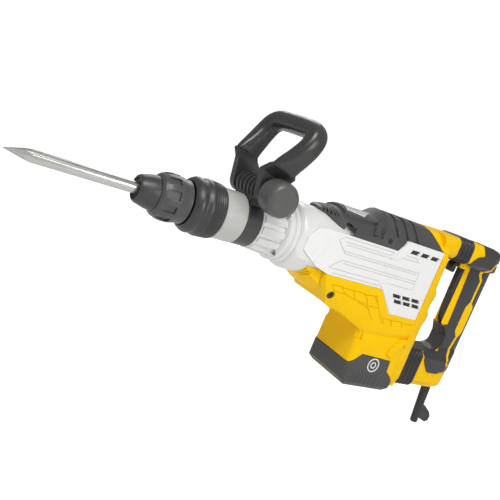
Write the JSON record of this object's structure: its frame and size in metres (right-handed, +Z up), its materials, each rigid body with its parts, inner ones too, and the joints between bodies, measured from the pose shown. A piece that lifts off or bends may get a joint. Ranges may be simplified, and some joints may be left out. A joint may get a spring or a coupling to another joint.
{
  "type": "demolition hammer",
  "caption": "Electric demolition hammer with a pointed chisel, sprung rear D-handle with trigger, swivelling front D-handle and vertical motor.",
  "frame": {"origin": "on the impact axis at the mouth of the steel tool holder", "axes": "-X out of the tool holder along the chisel, +X to the rear handle, +Z up"},
  "size_m": [0.863, 0.1567, 0.4254],
  "materials": {
    "bright_steel": "ground and oiled chisel steel",
    "bare_steel": "machined steel",
    "nose_rubber": "matt moulded rubber",
    "sleeve_plastic": "matt moulded plastic",
    "collar_paint": "smooth white paint",
    "barrel_alloy": "silver lacquer on cast alloy",
    "band_steel": "black oxide steel strip",
    "handle_black": "glass-filled nylon",
    "grip_rubber": "soft grip rubber",
    "knob_plastic": "fine-spark moulded plastic",
    "plate_white": "white satin plastic",
    "vent_black": "black plastic",
    "cover_plastic": "dark grey textured plastic",
    "badge_silver": "silver badge",
    "body_yellow": "yellow satin plastic",
    "handle_yellow": "yellow satin plastic",
    "bumper_rubber": "dark grey soft bumper",
    "badge_white": "white printed disc",
    "bellows_rubber": "black rubber",
    "handle_soft": "grey soft overmould",
    "trigger_plastic": "blue-black plastic",
    "guard_rubber": "black flexible rubber",
    "switch_plastic": "black moulded plastic",
    "seal_rubber": "nitrile rubber",
    "motor_iron": "laminated electrical steel",
    "commutator_copper": "copper bars",
    "brush_carbon": "carbon"
  },
  "bodies": {
    "housing": {"front_collar": "collar_paint", "barrel": "barrel_alloy", "gear_housing": "barrel_alloy", "side_plate_left": "plate_white", "side_plate_right": "plate_white", "vent_inserts": "vent_black", "top_cover": "cover_plastic", "cover_badge": "badge_silver", "cover_screws": "vent_black", "motor_housing": "body_yellow", "brush_caps": "switch_plastic", "bumper": "bumper_rubber", "bumper_badges": "badge_white", "rear_housing": "body_yellow", "upper_bellows": "bellows_rubber", "lower_bellows": "bellows_rubber", "damper_springs": "bare_steel", "cylinder": "bare_steel", "crank_bearing": "bare_steel", "idler_bearings": "bare_steel", "motor_stator": "motor_iron", "carbon_brushes": "brush_carbon", "motor_bearings": "bare_steel", "housing_screws": "bare_steel"},
    "tool_holder": {"tool_holder": "bare_steel", "dust_cap": "nose_rubber", "locking_bars": "bare_steel", "sleeve_spring": "bare_steel"},
    "locking_sleeve": {"locking_sleeve": "sleeve_plastic"},
    "index_ring": {"index_ring": "nose_rubber"},
    "chisel": {"chisel": "bright_steel"},
    "handle_clamp": {"clamp_band": "band_steel", "handle_saddle": "handle_black"},
    "side_handle": {"handle_yoke": "handle_black", "handle_grip": "grip_rubber", "clamp_bolt": "bare_steel"},
    "clamp_knob": {"clamp_knob": "knob_plastic"},
    "rear_handle": {"handle_shell_left": "handle_yellow", "handle_shell_right": "handle_yellow", "grip_cover": "handle_soft", "handle_pins": "bare_steel", "power_switch": "switch_plastic", "trigger_spring": "bare_steel", "cord_guard": "guard_rubber"},
    "trigger": {"trigger": "trigger_plastic"},
    "lock_lever": {"lock_lever": "vent_black"},
    "armature": {"motor_armature": "motor_iron", "commutator": "commutator_copper", "cooling_fan": "switch_plastic"},
    "idler": {"idler_gear": "bare_steel"},
    "crank": {"crank_gear": "bare_steel"},
    "connecting_rod": {"connecting_rod": "bare_steel", "wrist_pin": "bare_steel"},
    "piston": {"piston": "bare_steel", "piston_seal": "seal_rubber"},
    "ram": {"ram": "bare_steel", "ram_seals": "seal_rubber"},
    "impact_bolt": {"impact_bolt": "bare_steel"}
  },
  "joints": [
    {"name": "holder_turn", "type": "hinge", "parent": "housing", "child": "tool_holder", "pos_m": [0.05, 0, 0], "axis": [1, 0, 0], "continuous": true},
    {"name": "chisel_slide", "type": "slide", "parent": "tool_holder", "child": "chisel", "axis": [1, 0, 0], "range_m": [0, 0.012]},
    {"name": "sleeve_slide", "type": "slide", "parent": "tool_holder", "child": "locking_sleeve", "axis": [1, 0, 0], "range_m": [0, 0.008], "stiffness_N_per_m": 2500, "springref_m": -0.003, "deforming": ["sleeve_spring"]},
    {"name": "ring_slide", "type": "slide", "parent": "housing", "child": "index_ring", "axis": [1, 0, 0], "range_m": [0, 0.005], "stiffness_N_per_m": 2500, "springref_m": -0.003},
    {"name": "band_turn", "type": "hinge", "parent": "housing", "child": "handle_clamp", "pos_m": [0.154, 0, 0], "axis": [1, 0, 0], "continuous": true},
    {"name": "handle_tilt", "type": "hinge", "parent": "handle_clamp", "child": "side_handle", "pos_m": [0.154, 0, 0.05], "axis": [0, 1, 0], "range_deg": [-62, 20]},
    {"name": "knob_turn", "type": "hinge", "parent": "side_handle", "child": "clamp_knob", "pos_m": [0.154, -0.065, 0.05], "axis": [0, 1, 0], "continuous": true},
    {"name": "handle_damping", "type": "slide", "parent": "housing", "child": "rear_handle", "axis": [-1, 0, 0], "range_m": [0, 0.007], "stiffness_N_per_m": 15000, "springref_m": -0.001, "deforming": ["upper_bellows", "lower_bellows", "damper_springs"]},
    {"name": "trigger_pull", "type": "hinge", "parent": "rear_handle", "child": "trigger", "pos_m": [0.608, 0, 0.031], "axis": [0, -1, 0], "range_deg": [0, 4.5], "stiffness_Nm_per_rad": 0.8, "springref_deg": -17.19, "deforming": ["trigger_spring"]},
    {"name": "lever_tip", "type": "hinge", "parent": "rear_handle", "child": "lock_lever", "pos_m": [0.594, 0, 0.0352], "axis": [0, -1, 0], "range_deg": [0, 10], "stiffness_Nm_per_rad": 0.05, "springref_deg": -17.19},
    {"name": "motor_spin", "type": "hinge", "parent": "housing", "child": "armature", "pos_m": [0.452, 0, -0.1], "axis": [0, 0, 1], "continuous": true},
    {"name": "idler_spin", "type": "hinge", "parent": "housing", "child": "idler", "pos_m": [0.4245, 0, -0.04], "axis": [0, 0, 1], "continuous": true},
    {"name": "crank_spin", "type": "hinge", "parent": "housing", "child": "crank", "pos_m": [0.3895, 0, -0.03], "axis": [0, 0, 1], "continuous": true},
    {"name": "rod_swing", "type": "hinge", "parent": "crank", "child": "connecting_rod", "pos_m": [0.3805, 0, 0], "axis": [0, 0, 1], "continuous": true},
    {"name": "piston_slide", "type": "slide", "parent": "housing", "child": "piston", "axis": [1, 0, 0], "range_m": [0, 0.018]},
    {"name": "ram_slide", "type": "slide", "parent": "housing", "child": "ram", "axis": [1, 0, 0], "range_m": [0, 0.03]},
    {"name": "bolt_slide", "type": "slide", "parent": "housing", "child": "impact_bolt", "axis": [1, 0, 0], "range_m": [0, 0.005]}
  ],
  "couplings": [
    {"joint": "idler_spin", "follows": "motor_spin", "ratio": -0.22222},
    {"joint": "crank_spin", "follows": "motor_spin", "ratio": 0.074074},
    {"joint": "rod_swing", "follows": "motor_spin", "ratio": -0.074074}
  ]
}
